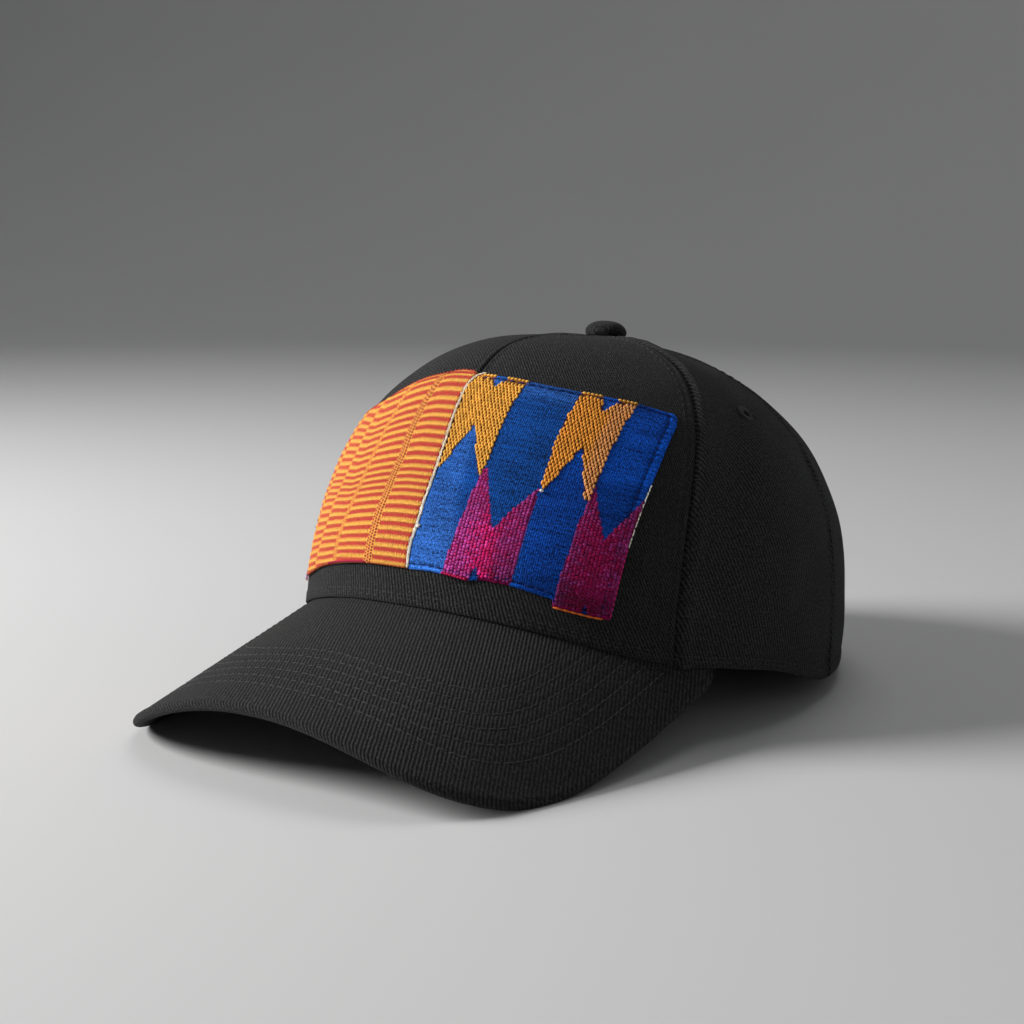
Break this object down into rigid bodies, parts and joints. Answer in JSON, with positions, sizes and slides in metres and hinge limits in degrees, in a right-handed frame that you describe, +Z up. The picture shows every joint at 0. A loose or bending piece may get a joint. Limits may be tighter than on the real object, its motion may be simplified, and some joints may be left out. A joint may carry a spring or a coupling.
{
  "type": "baseball cap",
  "caption": "Structured baseball cap with a curved visor, a cloth-covered top button and a striped and zigzag kente patch across its front panels.",
  "frame": {"origin": "on the table under the middle of the cap's box", "axes": "+Z up, the visor points towards -Y and +X is the wearer's left"},
  "size_m": [0.1734, 0.2716, 0.1204],
  "materials": {
    "crown_twill": "matt charcoal black cotton twill",
    "visor_twill": "matt charcoal black ribbed cotton over a stiff board",
    "sweatband_cloth": "soft matt black cotton",
    "button_cloth": "matt charcoal black twill over a dome",
    "striped_kente": "hand-woven weft stripes in yellow orange and red",
    "zigzag_kente": "hand-woven blue ground with yellow orange and magenta floats",
    "eyelet_thread": "charcoal black satin stitch"
  },
  "bodies": {
    "root": {"front_panel_left": "crown_twill", "front_panel_right": "crown_twill", "side_panel_left": "crown_twill", "side_panel_right": "crown_twill", "back_panel_left": "crown_twill", "back_panel_right": "crown_twill", "visor": "visor_twill", "sweatband": "sweatband_cloth", "top_button": "button_cloth", "kente_stripes": "striped_kente", "kente_zigzag": "zigzag_kente", "eyelet_side_left": "eyelet_thread", "eyelet_side_right": "eyelet_thread", "eyelet_back_left": "eyelet_thread", "eyelet_back_right": "eyelet_thread"}
  },
  "joints": []
}
